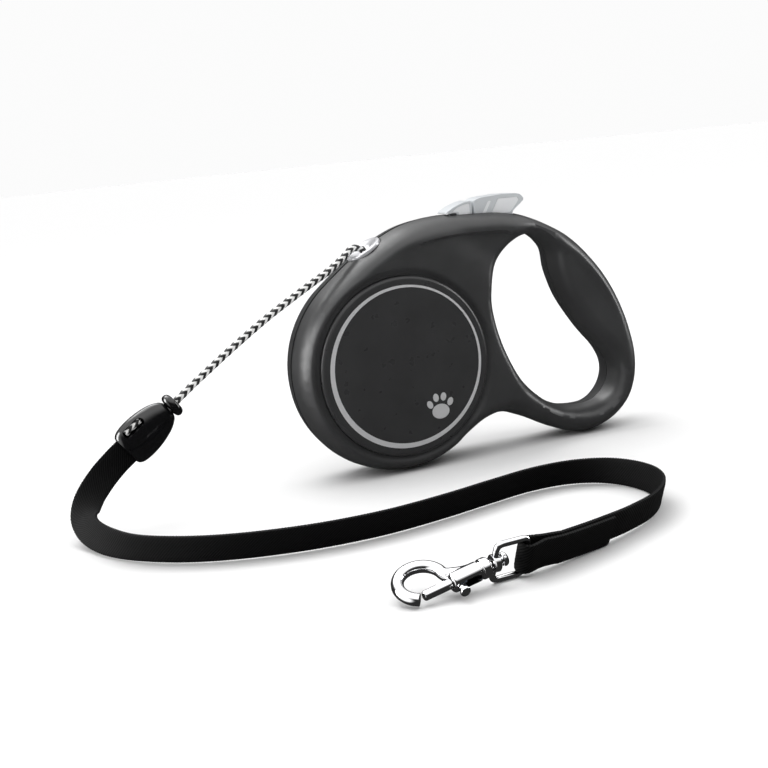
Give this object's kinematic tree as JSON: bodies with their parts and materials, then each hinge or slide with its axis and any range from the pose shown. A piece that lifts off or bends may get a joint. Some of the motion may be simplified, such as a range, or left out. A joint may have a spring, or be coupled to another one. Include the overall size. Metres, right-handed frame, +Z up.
{
  "type": "retractable leash",
  "caption": "Retractable cord leash: drum casing with a closed hand grip, brake button, sprung reel, braided cord, webbing strap and bolt snap.",
  "frame": {"origin": "middle of the casing's footprint, on the floor it stands on", "axes": "+Z up, +X from the cord drum to the hand grip, +Y from the front cover to the rear cover, so the seam is the plane y = 0"},
  "size_m": [0.2557, 0.1733, 0.1083],
  "materials": {
    "casing_plastic": "satin charcoal",
    "gloss_black": "polished",
    "silver_trim": "satin silver",
    "button_grey": "semi gloss",
    "steel": "plain",
    "chrome": "polished",
    "reel_nylon": "natural",
    "cord_braid": "black and white braid",
    "webbing": "woven nylon",
    "spring_steel": "blued"
  },
  "bodies": {
    "casing": {"front_shell": "casing_plastic", "rear_shell": "casing_plastic", "front_cover_disc": "gloss_black", "rear_cover_disc": "gloss_black", "front_trim_ring": "silver_trim", "rear_trim_ring": "silver_trim", "cord_eyelet": "chrome", "axle_pin": "steel", "spring_arbor": "steel", "mainspring": "spring_steel", "inner_cord_run": "cord_braid", "casing_screw_1": "steel", "casing_screw_2": "steel", "casing_screw_3": "steel", "casing_screw_4": "steel", "casing_screw_5": "steel", "lead_cord": "cord_braid", "connector_collar": "gloss_black", "connector_cap": "gloss_black", "cord_tail": "cord_braid", "strap": "webbing"},
    "reel": {"reel_drum": "reel_nylon", "reel_flange": "reel_nylon", "cord_pack": "cord_braid"},
    "brake": {"brake_button": "button_grey", "brake_spring": "spring_steel"},
    "pawl": {"brake_pawl": "steel"},
    "lock": {"lock_slider": "button_grey"},
    "eye": {"swivel_eye": "chrome"},
    "hook": {"hook_body": "chrome"},
    "bolt": {"hook_bolt": "chrome", "bolt_spring": "spring_steel"}
  },
  "joints": [
    {"name": "reel_spin", "type": "hinge", "parent": "casing", "child": "reel", "pos_m": [-0.035, 0, 0.0446], "axis": [0, -1, 0], "range_deg": [0, 10080], "stiffness_Nm_per_rad": 0.0006, "springref_deg": -2864.79},
    {"name": "brake_press", "type": "slide", "parent": "casing", "child": "brake", "axis": [0, 0, -1], "range_m": [0, 0.0022], "stiffness_N_per_m": 400, "springref_m": -0.004},
    {"name": "pawl_drop", "type": "slide", "parent": "casing", "child": "pawl", "axis": [-0.6815, 0, -0.7318], "range_m": [0, 0.0031]},
    {"name": "lock_slide", "type": "slide", "parent": "casing", "child": "lock", "axis": [-1, 0, 0], "range_m": [0, 0.003]},
    {"name": "eye_swing", "type": "hinge", "parent": "casing", "child": "eye", "pos_m": [-0.06001, -0.15072, 0.0076], "axis": [-0.0204, 0.3897, -0.9207], "range_deg": [0, 40]},
    {"name": "hook_swivel", "type": "hinge", "parent": "eye", "child": "hook", "pos_m": [-0.071, -0.1513, 0.0076], "axis": [-0.9835, -0.0515, -0.1736], "continuous": true},
    {"name": "bolt_slide", "type": "slide", "parent": "hook", "child": "bolt", "axis": [0.9835, 0.0515, 0.1736], "range_m": [0, 0.006], "stiffness_N_per_m": 300, "springref_m": -0.004}
  ],
  "couplings": [
    {"joint": "pawl_drop", "follows": "brake_press", "ratio": 1.3665}
  ]
}
